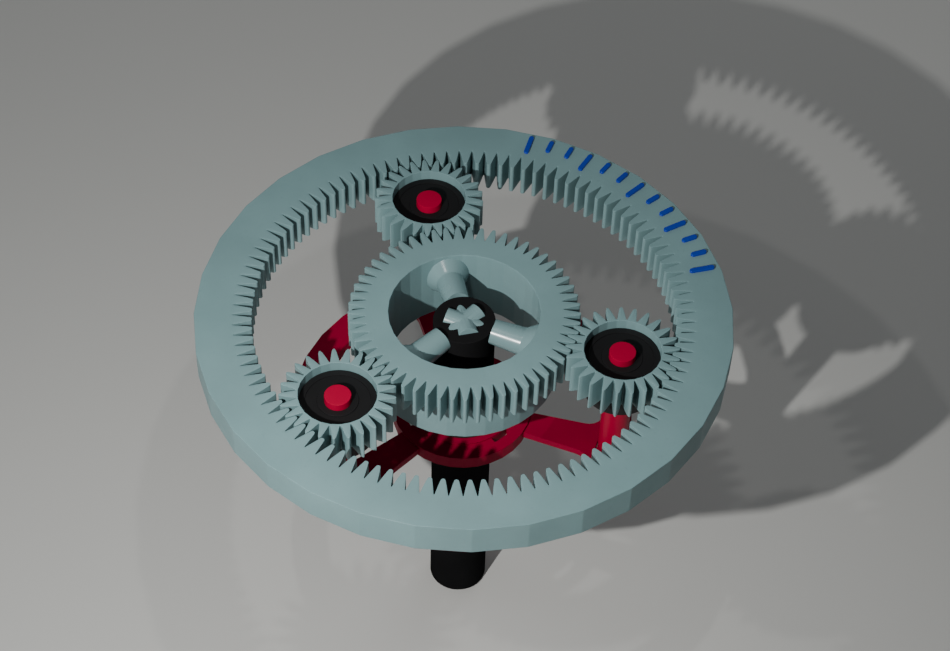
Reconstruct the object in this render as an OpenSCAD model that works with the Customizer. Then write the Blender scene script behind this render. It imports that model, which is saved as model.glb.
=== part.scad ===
// Open planetary gearbox: fixed ring gear, sun gear on the drive shaft, three planet gears on a carrier.
// Millimetres. The origin is the centre of the drive shaft's free end, and +Z runs up the shaft.

/* [Teeth] */
// Tooth module shared by every gear
tooth_module = 1.2; // [1.18:0.01:1.22]
// Teeth on the sun gear
sun_teeth = 57; // [57]
// Teeth on each planet gear
planet_teeth = 25; // [25]
// Pressure angle of the involute flanks
pressure_angle = 15; // [14.5:0.5:16]
// Thinning of each gear's teeth, measured along its pitch circle
backlash = 0.08; // [0.06:0.02:0.16]
// Width of every toothed rim
face_width = 10.7; // [10:0.1:11]
// Tooth tip radius of a planet gear
planet_tip_r = 17.1; // [17:0.02:17.28]
// Depth radius of the gaps between planet teeth
planet_root_r = 12.1; // [12.1:0.1:12.6]
// Tooth tip radius of the sun gear
sun_tip_r = 35.04; // [34.9:0.02:35.04]
// Depth radius of the gaps between sun teeth
sun_root_r = 29.8; // [29.7:0.05:29.9]
// Tooth tip radius of the ring gear, measured inwards
ring_tip_r = 63.6; // [63.6:0.1:63.9]
// Depth radius of the gaps between ring teeth
ring_root_r = 69.4; // [69.2:0.1:69.6]

/* [Layout] */
// Height of the ring gear's top face above the shaft's free end
top_z = 134; // [120:1:150]
// Direction of the left planet, measured from +X
left_angle = 222.8; // [200:0.1:250]
// Number of flats on the moulded round faces
flats = 32; // [24:4:40]

/* [Ring gear] */
// Outer radius of the ring gear, across its corners
ring_outer_r = 81; // [79:0.5:84]
// Height of the raised index marks
mark_height = 0.8; // [0.6:0.1:1]

/* [Sun gear] */
// Radius of the hole through the sun gear, across its corners
sun_bore_r = 22.9; // [22.5:0.1:23.2]
// Radius of the plain collar under the sun teeth, across its corners
collar_r = 29.4; // [29:0.1:29.6]
// Depth of the collar's lower edge below the top face
collar_depth = 24; // [20:0.5:26]

/* [Drive shaft] */
// Radius of the drive shaft
shaft_r = 9.5; // [9.5]
// Depth of the shaft's upper end below the top face
hub_depth = 4.1; // [4:0.1:4.2]

/* [Planet bearings] */
// Radius of the carrier pin inside the bearings
pin_r = 4; // [4]
// Outer radius of a bearing
bearing_r = 11; // [11]
// Width of one bearing
bearing_width = 7; // [7]
// Depth of the upper bearing below the planet's top face
bearing_depth = 3.2; // [3:0.1:3.2]
// Outer radius of the flange on each upper bearing
bearing_flange_r = 11.5; // [11.3:0.1:11.5]
// Radius of a ball
ball_r = 1.985; // [1.95:0.005:1.985]
// Balls in one bearing
ball_count = 7; // [6:1:7]

/* [Carrier] */
// Depth of the carrier hub's top below the ring's top face
carrier_depth = 44; // [43:0.5:46]
// Thickness of the carrier hub and rim
carrier_thickness = 4.6; // [4.2:0.1:4.8]
// Thickness of the three arms
arm_thickness = 2.4; // [2:0.1:2.8]
// Outer radius of the carrier hub, across its corners
hub_outer_r = 22; // [21.5:0.1:22.5]
// Inner radius of the carrier rim, across its corners
rim_inner_r = 45.1; // [44.8:0.1:45.4]
// Outer radius of the carrier rim, across its corners
rim_outer_r = 53.9; // [53.6:0.1:54.2]

/* [Hidden] */

$fn = 64;
ring_teeth = sun_teeth + 2 * planet_teeth;
mesh_count = sun_teeth + ring_teeth;
centre_distance = tooth_module * (sun_teeth + planet_teeth) / 2;
planet_shift = 0.5;
sun_shift = -0.5;
ring_shift = 0.5;
flank_steps = 4;
planet_root_half_w = 0.35;
sun_root_half_w = 0.22;
ring_root_half_w = 0.22;
ring_flank_r = 65.4;
bottom_z = top_z - face_width;

// How far a cutting shape runs past the face that it cuts
margin = 1;

// The planets can only stand where the sun and ring teeth line up: multiples of 360 / mesh_count apart
steps_to_next_planet = 55;
right_angle = left_angle + steps_to_next_planet * 360 / mesh_count;
back_angle = left_angle + 2 * steps_to_next_planet * 360 / mesh_count;

// A sun tooth points along +X; the ring's teeth follow from the left planet, which meshes with both
sun_phase = 0;
ring_phase = (mesh_count * left_angle - sun_teeth * sun_phase - 180) / ring_teeth;

ring_corner_angle = 92.68;
groove_r = ball_r + 0.065;
race_pitch_r = 7.5;
inner_race_r = 6.1;
outer_race_r = 8.9;
seal_seat_r = 9.6;
seal_inner_r = 6.2;
seal_thickness = 0.8;
seal_inset = 0.2;
seal_seat_depth = 1.2;
bearing_flange = 1;
cage_inner_r = 6.8;
cage_outer_r = 8.2;
cage_low = 2.4;
cage_high = 0.8;

carrier_top = top_z - carrier_depth;
carrier_bottom = carrier_top - carrier_thickness;
hub_top = carrier_top - 0.1;
rim_top = carrier_top - 0.6;
arm_top = carrier_top - 1;
rivet_r = 2.5;
shoulder_r = 4.5;
pin_top = top_z - 0.8;
bush_bore_r = shaft_r + 0.05;
bush_r = 11.5;
bush_flange_r = 14;
bush_flange = 1;
thrust_gap = 0.2;
washer_thickness = 1;
clip_thickness = 1.2;
clip_groove_r = 9;
clip_outer_r = 11.4;
clip_gap_angle = 50;

upper_washer_z = carrier_top + bush_flange + thrust_gap;
upper_clip_z = upper_washer_z + washer_thickness;
bush_low_z = carrier_bottom - 0.4;
lower_washer_z = bush_low_z - thrust_gap - washer_thickness;
lower_clip_z = lower_washer_z - clip_thickness;

gear_grey = [0.50, 0.60, 0.62];
metal_grey = [0.62, 0.70, 0.71];
carrier_red = [0.55, 0.02, 0.16];
pin_red = [0.70, 0.09, 0.22];
hub_black = [0.08, 0.08, 0.08];
mark_blue = [0.02, 0.16, 0.58];

// ---- Gear geometry ----

function polar(radius, angle) = [radius * cos(angle), radius * sin(angle)];

function involute(angle) = tan(angle) * 180 / PI - angle;

function base_radius(teeth) = tooth_module * teeth / 2 * cos(pressure_angle);

function flank_angle(teeth, radius) = acos(min(1, base_radius(teeth) / radius));

// Half the angle that a shifted tooth fills at a radius
function half_tooth(teeth, shift, radius) =
    (90 + 2 * shift * tan(pressure_angle) * 180 / PI) / teeth
    + involute(pressure_angle) - involute(flank_angle(teeth, radius));

function thinning(teeth) = backlash / (tooth_module * teeth) * 180 / PI;

function steps_between(first, last, count) = [for (i = [0 : count]) first + (last - first) * i / count];

// Radius and angle of the points round one external tooth, whose centre is at angle 0
function tooth_outline(teeth, shift, tip, root, root_half_w) =
    let (
        rising = steps_between(base_radius(teeth), tip, flank_steps),
        falling = steps_between(tip, base_radius(teeth), flank_steps),
        root_angle = 180 / teeth - root_half_w / root * 180 / PI
    )
    concat(
        [[root, -root_angle]],
        [for (r = rising) [r, thinning(teeth) - half_tooth(teeth, shift, r)]],
        [for (r = falling) [r, half_tooth(teeth, shift, r) - thinning(teeth)]],
        [[root, root_angle]]
    );

// The same for one gap of the ring gear
function gap_outline(teeth, shift, tip, flank_end, root, root_half_w) =
    let (
        outward = steps_between(tip, flank_end, flank_steps),
        inward = steps_between(flank_end, tip, flank_steps),
        root_angle = root_half_w / root * 180 / PI
    )
    concat(
        [for (r = outward) [r, -half_tooth(teeth, shift, r) - thinning(teeth)]],
        [[root, -root_angle], [root, root_angle]],
        [for (r = inward) [r, half_tooth(teeth, shift, r) + thinning(teeth)]]
    );

function around(outline, teeth, phase) =
    [for (k = [0 : teeth - 1], p = outline) polar(p[0], phase + k * 360 / teeth + p[1])];

// Direction of a planet tooth's centre that meshes with the sun
function planet_phase(angle) =
    angle + 180 + (angle - sun_phase) * sun_teeth / planet_teeth + 180 / planet_teeth;

// ---- Shared shapes ----

module many_sided(radius, height, first_angle = 0) {
    linear_extrude(height)
        polygon([for (k = [0 : flats - 1]) polar(radius, first_angle + k * 360 / flats)]);
}

module tube(outer, inner, height) {
    difference() {
        cylinder(r = outer, h = height);
        translate([0, 0, -margin])
            cylinder(r = inner, h = height + 2 * margin);
    }
}

module at_planet(angle) {
    rotate([0, 0, angle])
        translate([centre_distance, 0, 0])
            children();
}

// ---- Ring gear ----

module ring_gear() {
    color(gear_grey)
        translate([0, 0, bottom_z])
            difference() {
                many_sided(ring_outer_r, face_width, ring_corner_angle);
                translate([0, 0, -margin])
                    linear_extrude(face_width + 2 * margin)
                        polygon(around(
                            gap_outline(ring_teeth, ring_shift, ring_tip_r, ring_flank_r,
                                ring_root_r, ring_root_half_w),
                            ring_teeth,
                            ring_phase + 180 / ring_teeth
                        ));
            }
}

mark_first = 15;
mark_last = 75;
mark_step = 5;
mark_outer_r = 78.2;
mark_half_w = 0.8;
long_mark = 6.4;
short_mark = 3.6;

// One raised bar with round ends that points at the axis
module index_mark(angle, length) {
    rotate([0, 0, angle])
        translate([mark_outer_r, 0, top_z]) {
            translate([-length, -mark_half_w, 0])
                cube([length, 2 * mark_half_w, mark_height]);
            cylinder(r = mark_half_w, h = mark_height);
            translate([-length, 0, 0])
                cylinder(r = mark_half_w, h = mark_height);
        }
}

module index_marks() {
    color(mark_blue)
        for (angle = [mark_first : mark_step : mark_last])
            index_mark(angle, angle % (3 * mark_step) == 0 ? long_mark : short_mark);
}

// ---- Sun gear, spider and shaft ----

module sun_gear() {
    color(gear_grey)
        difference() {
            union() {
                translate([0, 0, bottom_z])
                    linear_extrude(face_width)
                        polygon(around(
                            tooth_outline(sun_teeth, sun_shift, sun_tip_r, sun_root_r, sun_root_half_w),
                            sun_teeth,
                            sun_phase
                        ));
                translate([0, 0, top_z - collar_depth])
                    many_sided(collar_r, collar_depth - margin, ring_corner_angle);
            }
            translate([0, 0, top_z - collar_depth - margin])
                many_sided(sun_bore_r, collar_depth + 2 * margin, ring_corner_angle);
        }
}

spoke_tilt = 7;
spoke_start = 8.9;
spoke_start_depth = 6.2;
spoke_r = 3.8;
spoke_end_r = 4.4;
spoke_length = 9.5;
flare_length = 4.6;
flare_r = 7.5;
star_tilt = 9.5;
star_r = 3.3;
star_reach = 6.15;
star_depth = 6.43;
spoke_root_r = 3;
root_cap_depth = 5;

// A tapering spoke whose bell mouth runs into the wall of the sun gear
module spoke(angle) {
    rotate([0, 0, angle])
        translate([spoke_start, 0, top_z - spoke_start_depth])
            rotate([0, 90 + spoke_tilt, 0]) {
                cylinder(r1 = spoke_r, r2 = spoke_end_r, h = spoke_length);
                translate([0, 0, spoke_length])
                    cylinder(r1 = spoke_end_r, r2 = flare_r, h = flare_length);
                translate([0, 0, spoke_length + flare_length])
                    cylinder(r = flare_r, h = flare_length);
            }
}

// A short rod through the middle of the hub, whose ends show as lobes in its top face
module star_rod(angle) {
    rotate([0, 0, angle])
        translate([0, 0, top_z - star_depth])
            rotate([0, 90 + star_tilt, 0])
                translate([0, 0, -star_reach])
                    cylinder(r = star_r, h = 2 * star_reach);
}

// The part of a spoke that lies inside the hub, kept below its top face
module spoke_root(angle) {
    intersection() {
        rotate([0, 0, angle])
            translate([0, 0, top_z - star_depth])
                rotate([0, 90 + star_tilt, 0])
                    cylinder(r = spoke_root_r, h = 2 * star_reach);
        cylinder(r = shaft_r, h = top_z - root_cap_depth);
    }
}

module spider_core() {
    for (angle = [left_angle, right_angle, back_angle]) {
        star_rod(angle);
        spoke_root(angle);
    }
}

module spoke_spider() {
    color(metal_grey)
        union() {
            spider_core();
            intersection() {
                difference() {
                    for (angle = [left_angle, right_angle, back_angle])
                        spoke(angle);
                    cylinder(r = shaft_r, h = top_z + margin);
                }
                translate([0, 0, top_z - collar_depth])
                    many_sided(sun_bore_r, collar_depth, ring_corner_angle);
            }
        }
}

module clip_groove(low_z) {
    translate([0, 0, low_z])
        tube(shaft_r + margin, clip_groove_r, clip_thickness);
}

module drive_shaft() {
    color(hub_black)
        difference() {
            cylinder(r = shaft_r, h = top_z - hub_depth);
            spider_core();
            clip_groove(upper_clip_z);
            clip_groove(lower_clip_z);
        }
}

// Open retaining ring that snaps into a groove of the shaft
module circlip(low_z) {
    translate([0, 0, low_z])
        difference() {
            tube(clip_outer_r, clip_groove_r, clip_thickness);
            translate([0, 0, -margin])
                linear_extrude(clip_thickness + 2 * margin)
                    polygon([
                        [0, 0],
                        polar(2 * clip_outer_r, -clip_gap_angle / 2),
                        polar(2 * clip_outer_r, clip_gap_angle / 2)
                    ]);
        }
}

module upper_circlip() {
    color(metal_grey)
        circlip(upper_clip_z);
}

module lower_circlip() {
    color(metal_grey)
        circlip(lower_clip_z);
}

module upper_thrust_washer() {
    color(metal_grey)
        translate([0, 0, upper_washer_z])
            tube(bush_flange_r, shaft_r, washer_thickness);
}

module lower_thrust_washer() {
    color(metal_grey)
        translate([0, 0, lower_washer_z])
            tube(bush_flange_r, shaft_r, washer_thickness);
}

// ---- Carrier ----

slot_outer_r = 18.3;
slot_inner_r = 16.3;
slot_half_angle = 12.5;
slot_offset = -25.5;
groove_lip = 0.1;
groove_depth = 0.4;
arm_root_half_w = 4.1;
arm_end_half_w = 5.4;
fillet_r = 5;
fillet_steps = 6;
slot_steps = 8;

// One edge of an arm along +X: from inside the hub to the rim, with a round fillet into the rim
function arm_edge() =
    let (
        centre_y = arm_end_half_w + fillet_r,
        centre_x = sqrt(pow(rim_inner_r - fillet_r, 2) - pow(centre_y, 2)),
        end_angle = atan2(centre_y, centre_x)
    )
    concat(
        [[slot_outer_r + margin, arm_root_half_w]],
        [for (a = steps_between(-90, end_angle, fillet_steps))
            [centre_x, centre_y] + polar(fillet_r, a)],
        [polar(rim_inner_r + margin, end_angle)]
    );

module arm(angle) {
    edge = arm_edge();
    mirrored = [for (i = [len(edge) - 1 : -1 : 0]) [edge[i][0], -edge[i][1]]];
    rotate([0, 0, angle])
        translate([0, 0, arm_top - arm_thickness])
            linear_extrude(arm_thickness)
                polygon(concat(edge, mirrored));
}

// Curved slot through the carrier hub
module hub_slot(angle) {
    rotate([0, 0, angle])
        translate([0, 0, carrier_bottom - margin])
            linear_extrude(carrier_thickness + 2 * margin)
                polygon(concat(
                    [for (a = steps_between(-slot_half_angle, slot_half_angle, slot_steps))
                        polar(slot_outer_r, a)],
                    [for (a = steps_between(slot_half_angle, -slot_half_angle, slot_steps))
                        polar(slot_inner_r, a)]
                ));
}

// Hub with three slots joined by a shallow groove, three arms and the outer rim
module carrier_plate() {
    color(carrier_red)
        difference() {
            union() {
                translate([0, 0, carrier_bottom])
                    many_sided(hub_outer_r, hub_top - carrier_bottom, ring_corner_angle);
                translate([0, 0, carrier_bottom])
                    cylinder(r = slot_inner_r - groove_lip, h = carrier_thickness);
                difference() {
                    translate([0, 0, carrier_bottom])
                        many_sided(rim_outer_r, rim_top - carrier_bottom, ring_corner_angle);
                    translate([0, 0, carrier_bottom - margin])
                        many_sided(rim_inner_r, carrier_thickness + 2 * margin, ring_corner_angle);
                }
                for (angle = [left_angle, right_angle, back_angle])
                    arm(angle);
            }
            translate([0, 0, carrier_bottom - margin])
                cylinder(r = bush_r, h = carrier_thickness + 2 * margin);
            translate([0, 0, hub_top - groove_depth])
                tube(slot_outer_r + groove_lip, slot_inner_r - groove_lip, margin);
            for (angle = [left_angle, right_angle, back_angle]) {
                hub_slot(angle + slot_offset);
                at_planet(angle)
                    translate([0, 0, carrier_bottom - margin])
                        cylinder(r = rivet_r, h = carrier_thickness + 2 * margin);
            }
        }
}

// Flanged plain bush that lets the carrier turn on the drive shaft
module carrier_bush() {
    color(hub_black)
        difference() {
            union() {
                translate([0, 0, bush_low_z])
                    cylinder(r = bush_r, h = carrier_top - bush_low_z);
                translate([0, 0, carrier_top])
                    cylinder(r = bush_flange_r, h = bush_flange);
            }
            translate([0, 0, bush_low_z - margin])
                cylinder(r = bush_bore_r, h = carrier_top + bush_flange - bush_low_z + 2 * margin);
        }
}

// Stepped pin: a rivet end through the rim, a post with a shoulder, and the bearing seat
module carrier_pin(angle) {
    shoulder_z = top_z - bearing_depth - 2 * bearing_width;
    color(pin_red)
        at_planet(angle) {
            translate([0, 0, carrier_bottom])
                cylinder(r = rivet_r, h = rim_top - carrier_bottom);
            translate([0, 0, rim_top])
                cylinder(r = shoulder_r, h = shoulder_z - rim_top);
            translate([0, 0, shoulder_z])
                cylinder(r = pin_r, h = pin_top - shoulder_z);
        }
}

// ---- Planets ----

// Planet gear with a round bore and, above the bearing's flange, a wider recess with flat sides
module planet_gear(angle) {
    color(gear_grey)
        difference() {
            translate([0, 0, bottom_z])
                linear_extrude(face_width)
                    translate(polar(centre_distance, angle))
                        polygon(around(
                            tooth_outline(planet_teeth, planet_shift, planet_tip_r, planet_root_r,
                                planet_root_half_w),
                            planet_teeth,
                            planet_phase(angle)
                        ));
            at_planet(angle)
                translate([0, 0, bottom_z - margin])
                    cylinder(r = bearing_r, h = face_width + 2 * margin);
            translate([0, 0, top_z - bearing_depth - bearing_flange])
                linear_extrude(bearing_depth + bearing_flange + margin)
                    translate(polar(centre_distance, angle))
                        polygon(around(
                            [[bearing_flange_r / cos(180 / planet_teeth), 180 / planet_teeth]],
                            planet_teeth,
                            planet_phase(angle)
                        ));
        }
}

function upper_bearing_z() = top_z - bearing_depth - bearing_width;

function lower_bearing_z() = upper_bearing_z() - bearing_width;

module ball_track() {
    rotate_extrude()
        translate([race_pitch_r, bearing_width / 2])
            circle(r = groove_r);
}

module outer_race(angle, low_z, rim_r) {
    color(hub_black)
        at_planet(angle)
            translate([0, 0, low_z])
                difference() {
                    union() {
                        tube(bearing_r, outer_race_r, bearing_width);
                        translate([0, 0, bearing_width - bearing_flange])
                            tube(rim_r, outer_race_r, bearing_flange);
                    }
                    translate([0, 0, -margin])
                        cylinder(r = seal_seat_r, h = margin + seal_seat_depth);
                    translate([0, 0, bearing_width - seal_seat_depth])
                        cylinder(r = seal_seat_r, h = margin + seal_seat_depth);
                    ball_track();
                }
}

module flanged_race(angle) {
    outer_race(angle, upper_bearing_z(), bearing_flange_r);
}

module inner_race(angle, low_z) {
    color(hub_black)
        at_planet(angle)
            translate([0, 0, low_z])
                difference() {
                    tube(inner_race_r, pin_r, bearing_width);
                    ball_track();
                }
}

module ball_ring(radius) {
    for (k = [0 : ball_count - 1])
        rotate([0, 0, k * 360 / ball_count])
            translate([race_pitch_r, 0, bearing_width / 2])
                sphere(r = radius);
}

module balls(angle, low_z) {
    color(metal_grey)
        at_planet(angle)
            translate([0, 0, low_z])
                ball_ring(ball_r);
}

// Crown cage: a ring under the balls whose open pockets space them
module cage(angle, low_z) {
    color(hub_black)
        at_planet(angle)
            translate([0, 0, low_z])
                difference() {
                    translate([0, 0, bearing_width / 2 - cage_low])
                        tube(cage_outer_r, cage_inner_r, cage_low + cage_high);
                    ball_ring(groove_r);
                }
}

// The two seals of each bearing of one planet
module bearing_seals(angle) {
    color(hub_black)
        at_planet(angle)
            for (low_z = [lower_bearing_z(), upper_bearing_z()])
                for (z = [seal_inset, bearing_width - seal_inset - seal_thickness])
                    translate([0, 0, low_z + z])
                        tube(seal_seat_r, seal_inner_r, seal_thickness);
}

ring_gear();
index_marks();
sun_gear();
spoke_spider();
drive_shaft();
upper_circlip();
lower_circlip();
upper_thrust_washer();
lower_thrust_washer();
carrier_plate();
carrier_bush();
carrier_pin(left_angle);  // left_pin
carrier_pin(right_angle);  // right_pin
carrier_pin(back_angle);  // back_pin
planet_gear(left_angle);  // left_planet_gear
planet_gear(right_angle);  // right_planet_gear
planet_gear(back_angle);  // back_planet_gear
flanged_race(left_angle);  // left_upper_outer_race
outer_race(left_angle, lower_bearing_z(), bearing_r);  // left_lower_outer_race
flanged_race(right_angle);  // right_upper_outer_race
outer_race(right_angle, lower_bearing_z(), bearing_r);  // right_lower_outer_race
flanged_race(back_angle);  // back_upper_outer_race
outer_race(back_angle, lower_bearing_z(), bearing_r);  // back_lower_outer_race
inner_race(left_angle, upper_bearing_z());  // left_upper_inner_race
inner_race(left_angle, lower_bearing_z());  // left_lower_inner_race
inner_race(right_angle, upper_bearing_z());  // right_upper_inner_race
inner_race(right_angle, lower_bearing_z());  // right_lower_inner_race
inner_race(back_angle, upper_bearing_z());  // back_upper_inner_race
inner_race(back_angle, lower_bearing_z());  // back_lower_inner_race
balls(left_angle, upper_bearing_z());  // left_upper_balls
balls(left_angle, lower_bearing_z());  // left_lower_balls
balls(right_angle, upper_bearing_z());  // right_upper_balls
balls(right_angle, lower_bearing_z());  // right_lower_balls
balls(back_angle, upper_bearing_z());  // back_upper_balls
balls(back_angle, lower_bearing_z());  // back_lower_balls
cage(left_angle, upper_bearing_z());  // left_upper_cage
cage(left_angle, lower_bearing_z());  // left_lower_cage
cage(right_angle, upper_bearing_z());  // right_upper_cage
cage(right_angle, lower_bearing_z());  // right_lower_cage
cage(back_angle, upper_bearing_z());  // back_upper_cage
cage(back_angle, lower_bearing_z());  // back_lower_cage
bearing_seals(left_angle);  // left_bearing_seals
bearing_seals(right_angle);  // right_bearing_seals
bearing_seals(back_angle);  // back_bearing_seals
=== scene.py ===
import math

import bmesh
import bpy
from mathutils import Matrix, Vector


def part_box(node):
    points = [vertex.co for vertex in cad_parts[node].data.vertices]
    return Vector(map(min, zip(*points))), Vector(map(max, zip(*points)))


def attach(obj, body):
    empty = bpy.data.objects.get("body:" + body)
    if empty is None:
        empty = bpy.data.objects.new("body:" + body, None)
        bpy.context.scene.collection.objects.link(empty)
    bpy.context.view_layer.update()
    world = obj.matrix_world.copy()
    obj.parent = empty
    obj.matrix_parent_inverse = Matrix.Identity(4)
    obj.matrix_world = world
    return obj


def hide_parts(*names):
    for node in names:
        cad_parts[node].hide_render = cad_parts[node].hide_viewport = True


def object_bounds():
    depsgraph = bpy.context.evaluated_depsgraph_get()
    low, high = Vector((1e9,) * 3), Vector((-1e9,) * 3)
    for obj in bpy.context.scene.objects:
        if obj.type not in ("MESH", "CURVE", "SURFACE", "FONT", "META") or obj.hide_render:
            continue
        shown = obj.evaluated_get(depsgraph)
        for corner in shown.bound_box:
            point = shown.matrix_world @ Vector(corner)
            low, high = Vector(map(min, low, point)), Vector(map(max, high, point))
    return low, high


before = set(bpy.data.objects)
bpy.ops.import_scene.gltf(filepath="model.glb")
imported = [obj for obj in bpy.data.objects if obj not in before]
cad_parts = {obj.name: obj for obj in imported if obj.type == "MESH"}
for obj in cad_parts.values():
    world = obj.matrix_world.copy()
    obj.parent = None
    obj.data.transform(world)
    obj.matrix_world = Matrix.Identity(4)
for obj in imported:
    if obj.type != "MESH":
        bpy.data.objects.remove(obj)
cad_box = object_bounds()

# ---- Sizes in millimetres, as in the CAD ----

MM = 0.001
PLANETS = ("left", "right", "back")
LEVELS = ("lower", "upper")
TOP = 134.0
BOTTOM = 123.3

# Gears
TOOTH_MODULE = 1.2
PRESSURE_ANGLE = math.radians(15)
BACKLASH = 0.08
SUN_TEETH = 57
PLANET_TEETH = 25
RING_TEETH = SUN_TEETH + 2 * PLANET_TEETH

# Each gear's tooth: profile shift, radius where its flank starts, radius of its tip, what is added to
# half the tip's width, radius of its root, and half the width of the gap's bottom
RING_TOOTH = dict(
    shift=0.5, start=67.5, tip=63.6, tip_extra=-0.05, root=69.4, gap_half_w=0.12, internal=True
)
SUN_TOOTH = dict(shift=-0.5, start=33.032, tip=35.04, tip_extra=0.0, root=29.8, gap_half_w=0.12)
PLANET_TOOTH = dict(shift=0.5, start=14.489, tip=17.1, tip_extra=0.25, root=12.1, gap_half_w=0.15)

# Rounded edges
FINE_EDGE = 0.12
PLANET_EDGE = 0.1
RIM_EDGE = 0.3

# Rims and bores with flat sides
FLATS = 32
FLAT_CORNER = math.radians(92.68)
RING_R = 81
COLLAR_R = 29.4
COLLAR_LOW = TOP - 24
SUN_BORE_R = 22.9

# Planet's bearing seat, and the recess above it for the bearing's flange
SEAT_R = 11.03
LIP_Z = 129.8
LIP_R = 11.5

# Raised marks on the ring
MARK_OUTER_R = 78.2
MARK_HALF_W = 0.8
MARK_HEIGHT = 0.8
MARK_DEGREES = range(15, 76, 5)
LONG_MARK_DEGREES = 15
LONG_MARK = 6.4
SHORT_MARK = 3.6

# Spokes: (radius, distance) pairs up to the bell mouth, and where the hub, the sun's bore and the top
# face cut them off. Rods cross in the hub, where their ends form the star.
SPOKE_PROFILE = [(3.8, 0.0), (4.0, 3.2), (4.2, 6.4), (4.38, 9.4), (4.46, 9.6)]
SPOKE_TILT = math.radians(7)
SPOKE_START = 8.9
SPOKE_DEPTH = 6.2
SPOKE_END_R = 22.88
SPOKE_LOW = 105
SPOKE_TOP = 133.9
BELL_LENGTH = 6.5
BELL_SLOPE = 0.66
STAR_TILT = math.radians(9.5)
STAR_DEPTH = 6.43
ROD_R = 3.3
ROD_REACH = 6.15
ROOT_R = 1.9
ROOT_LENGTH = 11.0
HUB_CORE_R = 9.48
HUB_CORE_Z = (100, 150)

# Shaft, circlips, washers and bush
SHAFT_R = 9.5
SHAFT_TOP = 129.9
GROOVE_R = 9.0
GROOVE_W = 1.2
GROOVE_LOWS = (82.6, 92.2)
GROOVE_EDGE = 0.08
CLIP_INNER_R = 9.02
CLIP_OUTER_R = 11.4
CLIP_HALF_GAP = math.radians(25)
CLIP_CORNER = 0.4
WASHER_BORE_R = 9.53
WASHER_R = 14
BUSH_BORE_R = 9.56
BUSH_R = 11.47
BUSH_FLANGE_R = 14
BUSH_FLANGE = 1

# Pins: riveted end, post, and the seat of the bearings
PIN_LOW = 85.4
RIVET_TOP = 89.4
POST_TOP = 116.8
PIN_TOP = 133.2
RIVET_R = 2.48
POST_R = 4.5
PIN_R = 4.0

# Bearings
RACE_BORE_R = 4.02
INNER_LAND_R = 6.1
PITCH_R = 7.5
OUTER_LAND_R = 8.9
RACE_R = 11
FLANGE_R = LIP_R - 0.02  # a hair inside the recess
TRACK_R = 2.05
SEAL_SEAT_R = 9.6
SEAL_SEAT_DEPTH = 1.2
SEAL_INNER_R = 6.14
SEAL_OUTER_R = 9.58
SEAL_SUNK = 0.2
SEAL_T = 0.8


def node_box(node):
    """Low and high corner of a CAD node, in millimetres."""
    low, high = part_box(node)
    return low / MM, high / MM


def planet_centre(planet):
    low, high = node_box(planet + "_upper_outer_race")
    return (low.x + high.x) / 2, (low.y + high.y) / 2


def planet_angle(planet):
    x, y = planet_centre(planet)
    return math.atan2(y, x) % math.tau


# ---- Camera, lights and floor ----

# Camera and the point it looks at, from the middle of the top face, in ring radii
CAMERA_OFFSET = (0.0, -5.132, 5.698)
AIM_OFFSET = (0.0403, -0.0410, -0.0360)
CAMERA_ROLL = math.radians(1.863)
LENS = 78.41
SENSOR = 36

DAYLIGHT = (0.93, 0.96, 1.0)
LAMPLIGHT = (1.0, 0.985, 0.96)

# Floor, in metres
FLOOR_HALF = 3.0
FLOOR_GAP = 0.0003


def add_camera():
    top_centre = Vector((0, 0, TOP * MM))
    place = top_centre + Vector(CAMERA_OFFSET) * (RING_R * MM)
    aim = top_centre + Vector(AIM_OFFSET) * (RING_R * MM)
    back = (place - aim).normalized()
    level = Vector((0, 0, 1)).cross(back).normalized()
    upright = back.cross(level)
    right = math.cos(CAMERA_ROLL) * level + math.sin(CAMERA_ROLL) * upright
    up = back.cross(right)
    turn = Matrix((right, up, back)).transposed().to_4x4()
    data = bpy.data.cameras.new("camera")
    data.lens = LENS
    data.sensor_width = SENSOR
    camera = bpy.data.objects.new("camera", data)
    camera.matrix_world = Matrix.Translation(place) @ turn
    bpy.context.scene.collection.objects.link(camera)
    bpy.context.scene.camera = camera


def add_area_light(name, offset, size, energy, colour=(1, 1, 1), glossy=True):
    """Round light that faces the middle of the gears, from an offset in metres."""
    offset = Vector(offset)
    data = bpy.data.lights.new(name, "AREA")
    data.shape = "DISK"
    data.size = size
    data.energy = energy
    data.color = colour
    light = bpy.data.objects.new(name, data)
    turn = offset.to_track_quat("Z", "Y").to_matrix().to_4x4()
    light.matrix_world = Matrix.Translation(Vector((0, 0, TOP * MM)) + offset) @ turn
    light.visible_camera = False
    light.visible_glossy = glossy
    bpy.context.scene.collection.objects.link(light)


def add_lights():
    """Two small lamps make the two shadows, and two broad ones fill in without showing in the gloss."""
    add_area_light("key", (-0.126, -0.250, 0.187), 0.006, 1.22, LAMPLIGHT)
    add_area_light("upper", (-0.042, -0.038, 0.151), 0.005, 0.056, LAMPLIGHT)
    add_area_light("rear", (0.7, 1.3, 0.45), 1.2, 4, glossy=False)
    add_area_light("side", (-1.2, 0.5, 0.35), 1.0, 1.6, glossy=False)


def add_world(colour, strength):
    world = bpy.data.worlds.new("studio")
    world.use_nodes = True
    background = world.node_tree.nodes["Background"]
    background.inputs["Color"].default_value = (*colour, 1)
    background.inputs["Strength"].default_value = strength
    bpy.context.scene.world = world


def add_floor(material):
    z = cad_box[0][2] - FLOOR_GAP
    corners = [(x * FLOOR_HALF, y * FLOOR_HALF, z) for x, y in ((-1, -1), (1, -1), (1, 1), (-1, 1))]
    data = bpy.data.meshes.new("floor")
    data.from_pydata(corners, [], [(0, 1, 2, 3)])
    data.materials.append(material)
    floor = bpy.data.objects.new("floor", data)
    bpy.context.scene.collection.objects.link(floor)


# ---- Materials ----

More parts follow.
